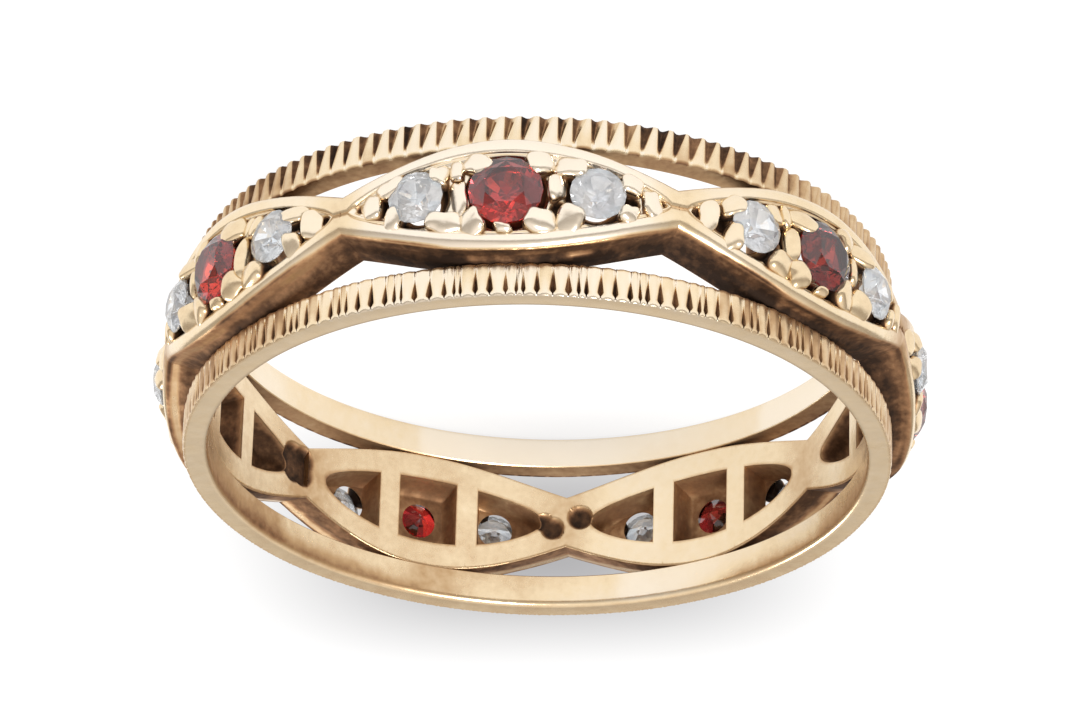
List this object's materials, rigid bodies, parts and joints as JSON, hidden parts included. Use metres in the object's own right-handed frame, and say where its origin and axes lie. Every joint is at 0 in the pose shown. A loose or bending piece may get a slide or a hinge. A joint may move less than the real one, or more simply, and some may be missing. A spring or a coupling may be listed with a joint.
{
  "type": "eternity band ring",
  "caption": "Openwork finger ring: two milled rims with pointed settings soldered between them all round, each holding a red stone between two clear ones.",
  "frame": {"origin": "centre of the finger hole, in the plane of the lower rim's flat side that the ring lies on", "axes": "+Z along the ring's axis, out of the finger hole; -Y through the middle of the first setting"},
  "size_m": [0.0204, 0.0204, 0.0052],
  "materials": {
    "gold": "polished, with tarnish in the recesses",
    "garnet": "faceted and polished",
    "white_stone": "faceted and polished"
  },
  "bodies": {
    "root": {"gold_band": "gold", "garnet_1": "garnet", "garnet_2": "garnet", "garnet_3": "garnet", "garnet_4": "garnet", "garnet_5": "garnet", "garnet_6": "garnet", "garnet_7": "garnet", "white_stone_1a": "white_stone", "white_stone_1b": "white_stone", "white_stone_2a": "white_stone", "white_stone_2b": "white_stone", "white_stone_3a": "white_stone", "white_stone_3b": "white_stone", "white_stone_4a": "white_stone", "white_stone_4b": "white_stone", "white_stone_5a": "white_stone", "white_stone_5b": "white_stone", "white_stone_6a": "white_stone", "white_stone_6b": "white_stone", "white_stone_7a": "white_stone", "white_stone_7b": "white_stone"}
  },
  "joints": []
}
